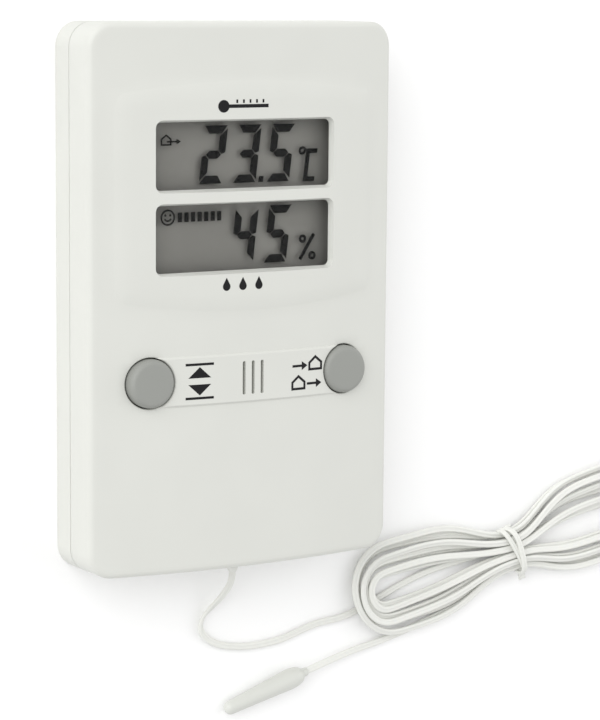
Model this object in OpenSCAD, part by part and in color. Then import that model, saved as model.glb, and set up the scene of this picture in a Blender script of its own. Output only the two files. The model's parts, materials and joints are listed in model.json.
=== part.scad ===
// Two-window maximum/minimum thermometer and hygrometer with an outside probe on a thin flat lead.
// It lies on its back: X is across the face, Y up the face, Z out of the face, and Z = 0 is the back.

/* [Case] */
// Width of the case across the face
case_w = 70; // [58:1:90]
// Height of the case up the face
case_h = 110; // [100:1:140]
// Depth of the case at its two long side edges
side_depth = 14; // [13.5:0.5:18]
// How far the middle of the face bulges past its side edges
crown = 3.8; // [3.4:0.2:6]
// Depth of the rear shell, up to the seam
rear_depth = 5.8; // [5:0.2:7]
// Wall thickness of both shells
wall = 2; // [1.6:0.1:2.2]
// Corner radius of the case seen from the front
corner_r = 5; // [4:0.5:9]
// Height that the display pillow stands above the face
pillow_h = 0.5; // [0.4:0.1:1.4]
// Height that the strip between the buttons stands above the face
strip_h = 0.4; // [0.2:0.1:0.8]

/* [Windows] */
// Width of each display window
window_w = 39.8; // [36:0.1:44]
// Height of each display window
window_h = 12.9; // [10:0.1:14]
// Bar between the two windows
window_gap = 3.5; // [2.4:0.1:4]
// Depth of the window sill below the face at the sides
sill_z = 15.6; // [15:0.1:16]
// Distance of the middle of the windows above the middle of the case
window_y = 20.3; // [16:0.1:24]
// Distance of the middle of the windows to the right of the middle of the case
window_x = -0.9; // [-1.5:0.1:1.5]
// Width of the sloped border round each window
bevel_w = 0.8; // [0.6:0.1:1.4]

/* [Buttons] */
// Diameter of the round button holes
button_hole_d = 10.3; // [8:0.1:11]
// Distance of each button from the middle line
button_x = 22.5; // [20:0.1:24]
// Distance of the buttons below the middle of the case
button_drop = 16; // [15:0.5:18]
// How far a button can be pressed
button_travel = 0.8; // [0.4:0.1:1]
// Height of the button faces above the back
button_top = 18; // [17:0.1:18.6]

/* [Battery] */
// Diameter of the cell
cell_d = 10.5; // [10:0.1:10.6]
// Length of the cell over its terminals
cell_l = 44.5; // [40:0.5:45]

/* [Stand] */
// Width of the fold-out leg
stand_w = 22; // [16:1:26]
// Length of the leg from its hinge to its free end
stand_l = 34; // [26:1:36]

/* [Lead and probe] */
// Width of the flat two-core lead
cord_w = 1.5; // [1.2:0.1:1.6]
// Length of the probe shell
probe_l = 21; // [18:0.5:28]
// Largest diameter of the probe shell
probe_d = 4.4; // [3.6:0.1:5]

/* [Hidden] */

$fn = 48;
tiny = 0.01;
reach = 200;

// Colours of the mouldings and the parts inside
white_plastic = [0.87, 0.87, 0.85];
grey_rubber = [0.60, 0.61, 0.59];
board_green = [0.16, 0.38, 0.22];
steel = [0.72, 0.72, 0.70];

// Face: one arc across the width, the same all the way up
half_w = case_w / 2;
face_r = (half_w * half_w + crown * crown) / (2 * crown);
face_axis_z = side_depth + crown - face_r;
function face_z(x) = face_axis_z + sqrt(face_r * face_r - x * x);

// Display pillow round the windows
pillow_w = window_w + 20.2;
pillow_hh = window_h + window_gap / 2 + 8.5;
pillow_corner = 6.5;
pillow_arc_r = 165;

// Strip and vents between the buttons
strip_hh = button_hole_d / 2 - 0.1;
vent_w = 0.7;
vent_l = 6.8;
vent_pitch = 2.1;

// Display stack, from the sill down to the circuit board
fit_gap = 0.2;
lens_t = 1.2;
lens_rim = 1.8;
lens_w = window_w + 2 * lens_rim;
lens_h = 2 * window_h + window_gap + 2 * lens_rim;
glass_t = 1.5;
glass_w = window_w + 8.2;
glass_h = lens_h + 4.8;
glass_top = sill_z - lens_t - 0.3;
glass_bottom = glass_top - glass_t;
reflector_t = 0.25;
board_t = 1.6;
board_top = glass_bottom - 2.05;
board_bottom = board_top - board_t;
board_hw = half_w - wall - 2;
board_hi = window_y + glass_h / 2 + 0.4;
board_lo = -button_drop - 8;
frame_rim = 3.2;
zebra_w = 1.8;
zebra_l = glass_w - 6;

// Fixings
case_screw_x = half_w - 6.5;
case_screw_y = case_h / 2 - 7;
case_post_r = 3;
case_pilot_r = 1.1;
screw_gap = 0.05;
head_r = 2.4;
head_t = 1.2;
head_floor = 2.4;
board_screw_x = board_hw - 2.5;
board_screw_hi = window_y + 16.7;
board_screw_lo = -4;
board_post_r = 2;
board_pilot_r = 1;

// Buttons
cap_r = button_hole_d / 2 - 0.25;
cap_edge = 0.9;
flange_r = cap_r + 1.2;
flange_t = 0.8;
flange_top = face_z(button_x + flange_r) - wall - 0.25;
flange_bottom = flange_top - flange_t;
pad_base_t = 0.5;
pad_wall = 0.8;
pad_dome_r = 3;

// Battery bay, a box open to the back and closed by a hinged cover
bay_y = board_lo - 10;
bay_wall = 1;
bay_hl = cell_l / 2 + 3.6;
bay_hh = cell_d / 2 + 0.95;
lid_t = 1.2;
lid_z = 0.2;
cell_gap = 0.15;
cell_z = lid_z + lid_t + cell_gap + cell_d / 2;
bay_roof = cell_z + cell_d / 2 + 2 * cell_gap;
lid_hl = bay_hl + 1.2;
lid_hh = bay_hh + 1.4;
lid_gap = 0.25;
lid_pivot_z = lid_z + lid_t / 2;
lid_pivot_y = bay_y + lid_hh - lid_t / 2;
lid_pin_r = 0.5;
pin_gap = 0.06;
pin_l = 1.2;
contact_t = 0.4;
contact_x = bay_hl - contact_t;

// Fold-out stand in its recess
stand_t = 1.4;
stand_z = 0.2;
stand_gap = 0.3;
stand_pivot_y = 37;
stand_pivot_z = stand_z + stand_t / 2;
stand_pin_r = 0.55;
stand_pad_t = 1.4;
stand_window = 10;

// Hanging keyhole
key_y = case_h / 2 - 10.2;
key_r = 3.8;
key_slot_r = 2.2;
key_slot_l = 5.2;

// Gland where the lead leaves, in the middle of the seam
gland_x = 2.5;
gland_r = 1.8;
gland_flange_r = 2.6;
gland_stub = 4.4;
gland_z = rear_depth;

// Points that the lead passes through, from the gland to the hank
run_points = [[gland_x, -case_h / 2 - gland_stub, gland_z], [2.3, -61.5, 5.3], [1, -65, 3],
              [-1.3, -68, 1.3], [-2.4, -70.5, 0.8], [-1.4, -73, 0.8], [2, -75.2, 0.8],
              [7, -76.3, 0.8], [12, -76.5, 0.8], [17.5, -76, 0.8], [22.5, -74.6, 0.8],
              [27, -73.5, 0.8], [32, -73.1, 0.8], [35.6, -72.4, 0.9]];
// Points of the short stretch between the hank and the probe
tail_points = [[46.5, -78.9, 0.9], [41, -79.5, 1], [34.5, -80.7, 1.3], [28.5, -82, 1.8],
               [23, -83.3, 2.2]];
tail_end = tail_points[len(tail_points) - 1];

// Hank of the coiled length, with a waist where it is tied
hank_at = [76.5, -62.3];
hank_turn = 10;
hank_half = 43;
hank_r = 11;
hank_h = 4.8;
waist_hw = 4.4;
waist_lift = 0.9;
waist_hl = 5;
tie_hl = 2.2;
tie_t = 0.9;

// Probe
probe_turn = 197;
probe_tip_r = 1.45;
probe_wall = 0.8;
probe_bore_r = 1.1;

module outline(inset = 0) {
    r = max(corner_r - inset, 0.5);
    for_w = case_w - 2 * inset;
    for_h = case_h - 2 * inset;
    rounded(for_w, for_h, r);
}

// Rectangle about the middle with true round corners
module rounded(w, h, r) {
    square([w - 2 * r, h], center = true);
    square([w, h - 2 * r], center = true);
    for (sx = [-1, 1], sy = [-1, 1])
        translate([sx * (w / 2 - r), sy * (h / 2 - r)])
            circle(r);
}

module plate(w, h, r, z_low, z_high) {
    translate([0, 0, z_low])
        linear_extrude(z_high - z_low)
            rounded(w, h, r);
}

module box_at(x0, x1, y0, y1, z0, z1) {
    translate([x0, y0, z0])
        cube([x1 - x0, y1 - y0, z1 - z0]);
}

// Everything under the face arc, raised or lowered by lift
module under_face(lift = 0) {
    translate([0, 0, face_axis_z])
        rotate([90, 0, 0])
            cylinder(h = case_h + 2, r = face_r + lift, center = true, $fn = 180);
}

// A hole or post along Z
module post(x, y, r, z_low, z_high) {
    translate([x, y, z_low])
        cylinder(h = z_high - z_low, r = r);
}

module at_case_screws() {
    for (sx = [-1, 1], sy = [-1, 1])
        translate([sx * case_screw_x, sy * case_screw_y, 0])
            children();
}

module at_board_screws() {
    for (sx = [-1, 1], y = [board_screw_hi, board_screw_lo])
        translate([sx * board_screw_x, y, 0])
            children();
}

// Outline of the display pillow: straight sides, arched top and bottom
module pillow_outline() {
    intersection() {
        rounded(pillow_w, 2 * pillow_hh, pillow_corner);
        translate([0, pillow_hh - pillow_arc_r])
            circle(pillow_arc_r, $fn = 180);
        translate([0, pillow_arc_r - pillow_hh])
            circle(pillow_arc_r, $fn = 180);
    }
}

module window_opening(side, grow, z_low, z_high) {
    translate([window_x, window_y + side * (window_h + window_gap) / 2, 0])
        plate(window_w + 2 * grow, window_h + 2 * grow, 1.1 + grow, z_low, z_high);
}

// Sloped border of a window, from its sill out to the face
module window_bevel(side) {
    slope_top = side_depth + crown + pillow_h;
    hull() {
        window_opening(side, 0, sill_z, sill_z + tiny, $fn = 32);
        window_opening(side, bevel_w, slope_top, slope_top + tiny, $fn = 32);
    }
}

module front_body() {
    intersection() {
        translate([0, 0, rear_depth])
            linear_extrude(side_depth + crown)
                outline();
        under_face();
    }
    intersection() {
        translate([0, window_y, side_depth - 1])
            linear_extrude(crown + pillow_h + 2)
                pillow_outline();
        under_face(pillow_h);
    }
    intersection() {
        box_at(-button_x, button_x, -button_drop - strip_hh, -button_drop + strip_hh,
               side_depth - 1, reach);
        under_face(strip_h);
    }
}

module front_cavity() {
    intersection() {
        translate([0, 0, rear_depth - 1])
            linear_extrude(side_depth + crown)
                outline(wall);
        under_face(-wall);
    }
}

module front_cover() {
    color(white_plastic)
        difference() {
            union() {
                difference() {
                    front_body();
                    front_cavity();
                }
                intersection() {
                    union() {
                        at_case_screws()
                            post(0, 0, case_post_r, rear_depth + 0.1, reach);
                        at_board_screws()
                            post(0, 0, board_post_r, board_top, reach);
                    }
                    under_face(-wall / 2);
                }
            }
            at_case_screws()
                post(0, 0, case_pilot_r, rear_depth - 1, side_depth - wall - 1);
            at_board_screws()
                post(0, 0, board_pilot_r, board_top - 1, board_top + 2);
            for (side = [-1, 1]) {
                window_opening(side, 0, sill_z - 3, sill_z + tiny);
                window_bevel(side);
            }
            translate([window_x, window_y, 0])
                plate(lens_w + 2 * fit_gap, lens_h + 2 * fit_gap, 1.2, sill_z - 4, sill_z);
            translate([window_x, window_y, 0])
                plate(glass_w + 4 * fit_gap, glass_h + 4 * fit_gap, 1, sill_z - 5,
                      glass_top + fit_gap);
            for (side = [-1, 1])
                post(side * button_x, -button_drop, button_hole_d / 2, side_depth - wall - 3,
                     reach);
            for (i = [-1 : 1])
                box_at(i * vent_pitch - vent_w / 2, i * vent_pitch + vent_w / 2,
                       -button_drop - vent_l / 2, -button_drop + vent_l / 2, side_depth, reach);
            gland_hole(gland_r + screw_gap);
        }
}

// Round hole through the bottom wall for the gland
module gland_hole(r) {
    translate([gland_x, -case_h / 2 - 1, gland_z])
        rotate([-90, 0, 0])
            cylinder(h = wall + 1.5, r = r);
    translate([gland_x, -case_h / 2 + wall, gland_z])
        rotate([-90, 0, 0])
            cylinder(h = 2.4, r = gland_flange_r + fit_gap);
}

module rear_shell() {
    difference() {
        linear_extrude(rear_depth)
            outline();
        translate([0, 0, wall])
            linear_extrude(rear_depth)
                outline(wall);
    }
    // Tongue that centres the front cover on the rear one
    translate([0, 0, wall])
        linear_extrude(rear_depth + 1.4 - wall)
            difference() {
                outline(wall + 0.15);
                outline(wall + 0.95);
            }
    at_case_screws()
        post(0, 0, case_post_r + 0.6, wall / 2, rear_depth);
    // Box round the cell
    box_at(-bay_hl - bay_wall, bay_hl + bay_wall, bay_y - bay_hh - bay_wall,
           bay_y + bay_hh + bay_wall, wall / 2, bay_roof + bay_wall);
    // Thicker floor over the stand's recess
    box_at(-stand_w / 2 - 3, stand_w / 2 + 3, stand_pivot_y - stand_l - 2, stand_pivot_y + 2.4,
           wall / 2, wall + stand_pad_t);
}

module stand_recess() {
    z_top = stand_z + stand_t + stand_gap;
    box_at(-stand_w / 2 - stand_gap, stand_w / 2 + stand_gap, stand_pivot_y - stand_l - stand_gap,
           stand_pivot_y + stand_t / 2 + stand_gap, -1, z_top);
    translate([0, stand_pivot_y, stand_pivot_z])
        rotate([0, 90, 0])
            cylinder(h = stand_w + 2 * (pin_l + stand_gap), r = stand_pin_r + pin_gap,
                     center = true);
    // Finger notch at the free end
    box_at(-5, 5, stand_pivot_y - stand_l - 3.2, stand_pivot_y - stand_l, -1, 1.2);
}

module lid_recess() {
    box_at(-lid_hl - lid_gap, lid_hl + lid_gap, bay_y - lid_hh - lid_gap, bay_y + lid_hh + lid_gap,
           -1, lid_z + lid_t + 0.1);
    translate([0, lid_pivot_y, lid_pivot_z])
        rotate([0, 90, 0])
            cylinder(h = 2 * (lid_hl + lid_gap + pin_l), r = lid_pin_r + pin_gap, center = true);
}

module rear_cover() {
    color(white_plastic)
        difference() {
            rear_shell();
            at_case_screws() {
                post(0, 0, head_r + 0.3, -1, head_floor);
                post(0, 0, case_pilot_r + 0.15, 0, reach);
            }
            box_at(-bay_hl, bay_hl, bay_y - bay_hh, bay_y + bay_hh, -1, bay_roof);
            lid_recess();
            stand_recess();
            post(0, key_y, key_r, -1, wall + 1);
            post(0, key_y + key_slot_l, key_slot_r, -1, wall + 1);
            box_at(-key_slot_r, key_slot_r, key_y, key_y + key_slot_l, -1, wall + 1);
            gland_hole(gland_r + screw_gap);
            // Slots that let the contact tabs out to the wires
            for (side = [-1, 1])
                box_at(side * contact_x - 0.6, side * contact_x + 0.6, bay_y + bay_hh - 1,
                       bay_y + bay_hh + bay_wall + 1, cell_z - 1.2, cell_z + 1.2);
        }
}

module window_lens() {
    color([0.85, 0.88, 0.88, 0.5])
        translate([window_x, window_y, 0])
            plate(lens_w, lens_h, 1, sill_z - lens_t, sill_z);
}

module lcd_glass() {
    color([0.45, 0.45, 0.43])
        box_at(window_x - glass_w / 2, window_x + glass_w / 2, window_y - glass_h / 2,
               window_y + glass_h / 2, glass_bottom, glass_top);
}

module lcd_reflector() {
    hw = glass_w / 2 - frame_rim - fit_gap;
    hh = glass_h / 2 - frame_rim - fit_gap;
    color([0.5, 0.5, 0.47])
        box_at(window_x - hw, window_x + hw, window_y - hh, window_y + hh,
               glass_bottom - reflector_t, glass_bottom);
}

// Frame that holds the glass off the board, with a slot for each contact strip
module lcd_frame() {
    color([0.8, 0.8, 0.78])
        translate([window_x, window_y, 0])
            difference() {
                box_at(-glass_w / 2, glass_w / 2, -glass_h / 2, glass_h / 2, board_top,
                       glass_bottom);
                box_at(frame_rim - glass_w / 2, glass_w / 2 - frame_rim, frame_rim - glass_h / 2,
                       glass_h / 2 - frame_rim, board_top - 1, glass_bottom + 1);
                for (side = [-1, 1])
                    translate([0, side * (glass_h - frame_rim) / 2, 0])
                        box_at(-zebra_l / 2 - fit_gap / 2, zebra_l / 2 + fit_gap / 2,
                               -zebra_w / 2 - fit_gap / 2, zebra_w / 2 + fit_gap / 2,
                               board_top - 1, glass_bottom + 1);
            }
}

module zebra_strip(side) {
    y = window_y + side * (glass_h - frame_rim) / 2;
    color([0.75, 0.7, 0.72])
        box_at(window_x - zebra_l / 2, window_x + zebra_l / 2, y - zebra_w / 2, y + zebra_w / 2,
               board_top, glass_bottom);
}

module circuit_board() {
    color(board_green)
        difference() {
            box_at(-board_hw, board_hw, board_lo, board_hi, board_bottom, board_top);
            at_board_screws()
                post(0, 0, board_pilot_r + 0.1, board_bottom - 1, board_top + 1);
        }
}

module pan_screw(r, shank_l, h_r, h_t) {
    post(0, 0, h_r, -h_t, 0);
    post(0, 0, r, -tiny, shank_l);
}

module board_screws() {
    color(steel)
        at_board_screws()
            translate([0, 0, board_bottom])
                difference() {
                    pan_screw(board_pilot_r - screw_gap, board_t + 1.8, 1.8, 0.8);
                    box_at(-1.2, 1.2, -0.2, 0.2, -1, -0.4);
                    box_at(-0.2, 0.2, -1.2, 1.2, -1, -0.4);
                }
}

module case_screws() {
    color(steel)
        at_case_screws()
            translate([0, 0, head_floor])
                difference() {
                    pan_screw(case_pilot_r - screw_gap, side_depth - wall - 1.2 - head_floor,
                              head_r, head_t);
                    box_at(-1.6, 1.6, -0.3, 0.3, -2, -0.5);
                    box_at(-0.3, 0.3, -1.6, 1.6, -2, -0.5);
                }
}

// Drop of black resin over the chip, a shallow dome on the back of the board
module chip_cover() {
    dome_r = 5.2;
    dome_h = 1.3;
    ball_r = (dome_r * dome_r + dome_h * dome_h) / (2 * dome_h);
    color([0.07, 0.07, 0.08])
        translate([0, 12, board_bottom - dome_h])
            rotate_extrude($fn = 64)
                intersection() {
                    translate([0, ball_r])
                        circle(ball_r, $fn = 180);
                    square([dome_r, dome_h]);
                }
}

module crystal_can() {
    color(steel)
        translate([13, 4, board_bottom - 1])
            rotate([90, 0, 0])
                cylinder(h = 6, r = 1, $fn = 32);
}

module board_parts() {
    color([0.45, 0.36, 0.25])
        for (p = [[-14, 8], [-14, 4], [-9, -8], [4, -9], [9, -9], [16, -8]])
            translate([p[0], p[1], board_bottom - 0.6])
                cube([2, 1.25, 0.6]);
}

module humidity_sensor() {
    color([0.9, 0.9, 0.86])
        difference() {
            box_at(-4.5, 4.5, -button_drop - 3.5, -button_drop + 3.5, board_top, board_top + 1.6);
            for (i = [-1 : 1])
                box_at(2.4 * i - 0.6, 2.4 * i + 0.6, -button_drop - 2.5, -button_drop + 2.5,
                       board_top + 1, board_top + 2);
        }
}

// Thermistor bead on its two stiff legs
module inside_thermistor() {
    bead_z = board_top + 2.2;
    color([0.12, 0.12, 0.13]) {
        translate([8, -button_drop, bead_z])
            sphere(1, $fn = 32);
        for (side = [-1, 1])
            post(8 + side * 0.5, -button_drop, 0.2, board_top, bead_z);
    }
}

// Round cap with a softened rim and a flange that keeps it in
module button_cap(side) {
    top_z = button_top;
    color(grey_rubber)
        translate([side * button_x, -button_drop, 0])
            rotate_extrude($fn = 64) {
                translate([0, flange_bottom])
                    square([flange_r, flange_t]);
                translate([0, flange_bottom])
                    square([cap_r, top_z - cap_edge - flange_bottom]);
                translate([0, flange_bottom])
                    square([cap_r - cap_edge, top_z - flange_bottom]);
                translate([cap_r - cap_edge, top_z - cap_edge])
                    circle(cap_edge);
            }
}

module button_pad(side) {
    color([0.3, 0.3, 0.3])
        translate([side * button_x, -button_drop, 0]) {
            difference() {
                union() {
                    box_at(-5, 5, -5, 5, board_top, board_top + pad_base_t);
                    post(0, 0, pad_dome_r, board_top, flange_bottom);
                }
                post(0, 0, pad_dome_r - pad_wall, board_top - button_travel,
                     board_top + button_travel);
            }
        }
}

module battery() {
    color([0.25, 0.32, 0.45])
        translate([-cell_l / 2, bay_y, cell_z])
            rotate([0, 90, 0]) {
                cylinder(h = cell_l - 1, r = cell_d / 2);
                cylinder(h = cell_l, r = 1.9);
            }
}

// A round tube through points, with sides flats, wide across and thick up
module tube(points, wide, thick, sides = 8) {
    n = len(points);
    rings = [for (i = [0 : n - 1]) ring(points, i, wide / 2, thick / 2, sides)];
    verts = [for (r = rings) for (p = r) p];
    near_cap = [for (j = [0 : sides - 1]) j];
    far_cap = [for (j = [0 : sides - 1]) n * sides - 1 - j];
    walls = [for (i = [0 : n - 2]) for (j = [0 : sides - 1])
                 [i * sides + j, (i + 1) * sides + j, (i + 1) * sides + (j + 1) % sides,
                  i * sides + (j + 1) % sides]];
    polyhedron(verts, concat([near_cap], walls, [far_cap]));
}

function unit(v) = v / norm(v);
function heading(p, i) = unit(p[min(i + 1, len(p) - 1)] - p[max(i - 1, 0)]);
function ring(p, i, a, b, sides) =
    let (t = heading(p, i),
         s = unit(cross([0, 0, 1], t)),
         u = cross(t, s))
    [for (j = [0 : sides - 1])
        let (ang = 360 * (j + 0.5) / sides)
        p[i] + s * a * cos(ang) + u * b * sin(ang)];

// Smooth curve through the points, with steps spans between each pair
function smooth(p, steps) =
    let (n = len(p))
    concat([for (i = [0 : n - 2]) for (k = [0 : steps - 1])
                spline(p[max(i - 1, 0)], p[i], p[i + 1], p[min(i + 2, n - 1)], k / steps)],
           [p[n - 1]]);
function spline(a, b, c, d, t) =
    0.5 * (2 * b + (c - a) * t + (2 * a - 5 * b + 4 * c - d) * t * t
           + (3 * b - a - 3 * c + d) * t * t * t);

// Coil that presses on the flat end of the cell, and its plate
module battery_spring() {
    plate_x = -bay_hl;
    free_l = bay_hl - cell_l / 2 - contact_t;
    turns = 3.5;
    steps = 56;
    wire = 0.5;
    big_r = 3.2;
    small_r = 1.8;
    coil = [for (i = [0 : steps])
                let (f = i / steps, a = 360 * turns * f, r = big_r + (small_r - big_r) * f)
                [plate_x + contact_t + wire / 2 - 0.15 + (free_l - wire) * f,
                 bay_y + r * cos(a), cell_z + r * sin(a)]];
    color(steel) {
        box_at(plate_x, plate_x + contact_t, bay_y - 4.5, bay_y + 4.5, cell_z - 4.5,
               cell_z + 4.5);
        contact_tab(-1);
        coil_wire(coil, wire / 2, 6);
    }
}

// The coil's rings use the coil's own axis, X, as their guide
module coil_wire(points, r, sides) {
    n = len(points);
    verts = [for (i = [0 : n - 1])
                let (t = heading(points, i), s = unit(cross([1, 0, 0], t)), u = cross(t, s))
                for (j = [0 : sides - 1])
                    points[i] + r * (s * cos(360 * j / sides) + u * sin(360 * j / sides))];
    walls = [for (i = [0 : n - 2]) for (j = [0 : sides - 1])
                 [i * sides + j, (i + 1) * sides + j, (i + 1) * sides + (j + 1) % sides,
                  i * sides + (j + 1) % sides]];
    polyhedron(verts, concat([[for (j = [0 : sides - 1]) j]], walls,
                             [[for (j = [0 : sides - 1]) n * sides - 1 - j]]));
}

module contact_tab(side) {
    x = side > 0 ? bay_hl - contact_t : -bay_hl;
    box_at(x, x + contact_t, bay_y + 4, bay_y + bay_hh + bay_wall + 0.8, cell_z - 0.9,
           cell_z + 0.9);
}

// Plate with a raised pip that touches the cell's button
module battery_contact() {
    color(steel) {
        box_at(bay_hl - contact_t, bay_hl, bay_y - 4.5, bay_y + 4.5, cell_z - 4.5, cell_z + 4.5);
        contact_tab(1);
        translate([cell_l / 2, bay_y, cell_z])
            rotate([0, 90, 0])
                cylinder(h = bay_hl - contact_t - cell_l / 2 + tiny, r = 1.4, $fn = 32);
    }
}

// Insulated wire from a contact tab to the edge of the board
module battery_wire(side) {
    x = side * (bay_hl - contact_t / 2);
    y = bay_y + bay_hh + bay_wall + 0.85;
    points = [[x, y, cell_z], [x, y + 1, cell_z], [x - side * 2, board_lo + 1, board_bottom - 1],
              [x - side * 4, board_lo + 2.5, board_bottom - 0.6]];
    tube(smooth(points, 3), 1, 1);
}

module red_wire() {
    color([0.7, 0.1, 0.1])
        battery_wire(1);
}

module black_wire() {
    color([0.08, 0.08, 0.08])
        battery_wire(-1);
}

// Lid with a rolled hinge edge, two hinge pins and a latch lip on the other edge
module battery_cover() {
    color(white_plastic)
        difference() {
            union() {
                box_at(-lid_hl, lid_hl, bay_y - lid_hh, lid_pivot_y, lid_z, lid_z + lid_t);
                translate([0, lid_pivot_y, lid_pivot_z])
                    rotate([0, 90, 0]) {
                        cylinder(h = 2 * lid_hl, r = lid_t / 2, center = true);
                        cylinder(h = 2 * (lid_hl + pin_l), r = lid_pin_r, center = true);
                    }
            }
            for (i = [0 : 3])
                box_at(-6, 6, bay_y - lid_hh + 2 + 1.4 * i, bay_y - lid_hh + 2.6 + 1.4 * i, -1,
                       lid_z + 0.3);
        }
}

// Leg with a window in it, two hinge pins and a rolled hinge edge
module table_stand() {
    color(white_plastic)
        difference() {
            union() {
                box_at(-stand_w / 2, stand_w / 2, stand_pivot_y - stand_l, stand_pivot_y, stand_z,
                       stand_z + stand_t);
                translate([0, stand_pivot_y, stand_pivot_z])
                    rotate([0, 90, 0]) {
                        cylinder(h = stand_w, r = stand_t / 2, center = true);
                        cylinder(h = stand_w + 2 * pin_l, r = stand_pin_r, center = true);
                    }
            }
            translate([0, stand_pivot_y - stand_l / 2, 0])
                plate(stand_window, stand_l - 12, 2, -1, 3);
        }
}

// Moulded sleeve that grips the lead where it leaves the case
module lead_gland() {
    color(white_plastic)
        translate([gland_x, -case_h / 2 + wall, gland_z])
            rotate([90, 0, 0])
                rotate_extrude($fn = 48)
                    polygon([[0, -1.2], [gland_flange_r, -1.2], [gland_flange_r, -0.15],
                             [gland_r, -0.15],
                             [gland_r, wall], [1.7, wall + 0.4], [1.2, wall + gland_stub],
                             [0, wall + gland_stub]]);
}

module inside_lead() {
    bend_x = bay_hl + bay_wall + 2.4;
    low_y = bay_y - bay_hh - bay_wall - 1.6;
    start_y = -case_h / 2 + wall + 1.2;
    points = [[gland_x, start_y, gland_z], [gland_x, start_y + 1.8, gland_z + 0.1],
              [gland_x + 3, low_y - 3.5, gland_z + 0.3], [gland_x + 9, low_y - 0.4, gland_z + 0.6],
              [bend_x - 2, low_y - 0.3, gland_z + 0.8], [bend_x, low_y + 2, gland_z + 1],
              [bend_x, board_lo - 6, gland_z + 1.4], [bend_x - 1, board_lo + 1, gland_z + 1.6],
              [bend_x - 4, board_lo + 3, board_bottom - cord_w / 2 - 0.1]];
    color([0.85, 0.85, 0.83])
        tube(smooth(points, 3), cord_w, cord_w);
}

module lead_run() {
    color([0.86, 0.86, 0.84])
        tube(smooth(run_points, 2), cord_w, cord_w);
}

module lead_tail() {
    color([0.86, 0.86, 0.84])
        tube(smooth(tail_points, 3), cord_w, cord_w);
}

module at_hank() {
    translate([hank_at[0], hank_at[1], 0])
        rotate([0, 0, hank_turn])
            children();
}

// Two rounded lobes joined by the waist that the tie grips
module lead_hank() {
    color([0.84, 0.84, 0.82])
        at_hank() {
            for (side = [-1, 1])
                linear_extrude(hank_h) {
                    translate([side * (hank_half - hank_r), 0])
                        circle(hank_r, $fn = 64);
                    polygon([[side * waist_hl, -waist_hw], [side * (hank_half - hank_r), -hank_r],
                             [side * (hank_half - hank_r), hank_r], [side * waist_hl, waist_hw]]);
                }
            box_at(-waist_hl - tiny, waist_hl + tiny, -waist_hw, waist_hw, waist_lift, hank_h);
        }
}

module hank_tie() {
    color([0.88, 0.88, 0.86])
        at_hank()
            difference() {
                box_at(-tie_hl, tie_hl, -waist_hw - tie_t, waist_hw + tie_t, waist_lift - tie_t,
                       hank_h + tie_t);
                box_at(-tie_hl - 1, tie_hl + 1, -waist_hw, waist_hw, waist_lift, hank_h);
            }
}

module at_probe() {
    translate(tail_end)
        rotate([0, 0, probe_turn])
            rotate([0, 90, 0])
                children();
}

// Slim tapered shell: round shoulder at the lead, round tip at the far end
module probe_shell() {
    shoulder = 1.6;
    widest = 3;
    r = probe_d / 2;
    color(white_plastic)
        at_probe()
            rotate_extrude($fn = 48)
                difference() {
                    union() {
                        polygon([[0, 0], [r - shoulder + 0.4, 0], [r - 0.25, 1], [r, widest],
                                 [probe_tip_r, probe_l - probe_tip_r],
                                 [0, probe_l - probe_tip_r]]);
                        intersection() {
                            translate([0, probe_l - probe_tip_r])
                                circle(probe_tip_r);
                            translate([0, probe_l - probe_tip_r - 1])
                                square([r, probe_tip_r + 1]);
                        }
                    }
                    translate([-1, widest])
                        square([1 + probe_bore_r - 0.3, probe_l - widest - 2.4]);
                }
}

// Bead at the tip and the two cores that reach it, cast inside the shell
module probe_sensor() {
    bead_r = probe_bore_r - 0.35;
    color([0.12, 0.12, 0.13])
        at_probe() {
            translate([0, 0, probe_l - 2.4 - bead_r - 0.05])
                sphere(bead_r, $fn = 32);
            post(0, 0, 0.3, 3, probe_l - 2.4 - bead_r);
        }
}

front_cover();
rear_cover();
window_lens();
lcd_glass();
lcd_reflector();
lcd_frame();
zebra_strip(1);  // zebra_strip_upper
zebra_strip(-1);  // zebra_strip_lower
circuit_board();
board_screws();
chip_cover();
crystal_can();
board_parts();
humidity_sensor();
inside_thermistor();
button_cap(-1);  // max_min_button
button_cap(1);  // in_out_button
button_pad(-1);  // max_min_pad
button_pad(1);  // in_out_pad
battery();
battery_spring();
battery_contact();
red_wire();
black_wire();
battery_cover();
table_stand();
case_screws();
lead_gland();
inside_lead();
lead_run();
lead_hank();
hank_tie();
lead_tail();
probe_shell();
probe_sensor();
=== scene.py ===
import json
import math

import bpy
import numpy as np
from mathutils import Matrix
from mathutils.geometry import delaunay_2d_cdt


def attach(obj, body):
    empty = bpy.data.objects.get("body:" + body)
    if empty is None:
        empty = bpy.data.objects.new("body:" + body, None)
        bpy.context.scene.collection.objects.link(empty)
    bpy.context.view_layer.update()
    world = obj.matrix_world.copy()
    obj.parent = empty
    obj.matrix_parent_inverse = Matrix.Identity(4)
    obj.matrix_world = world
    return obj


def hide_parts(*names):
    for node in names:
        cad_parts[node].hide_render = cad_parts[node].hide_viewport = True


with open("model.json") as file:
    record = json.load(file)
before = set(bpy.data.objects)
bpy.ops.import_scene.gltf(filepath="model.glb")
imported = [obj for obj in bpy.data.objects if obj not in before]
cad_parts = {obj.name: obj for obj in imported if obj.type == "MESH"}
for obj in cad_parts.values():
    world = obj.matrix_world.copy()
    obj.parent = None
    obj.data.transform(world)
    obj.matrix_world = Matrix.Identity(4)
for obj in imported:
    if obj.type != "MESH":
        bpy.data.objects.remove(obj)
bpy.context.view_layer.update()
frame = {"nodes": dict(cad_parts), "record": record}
MM = 0.001
scene = bpy.context.scene
scene.view_settings.view_transform = "Standard"

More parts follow.
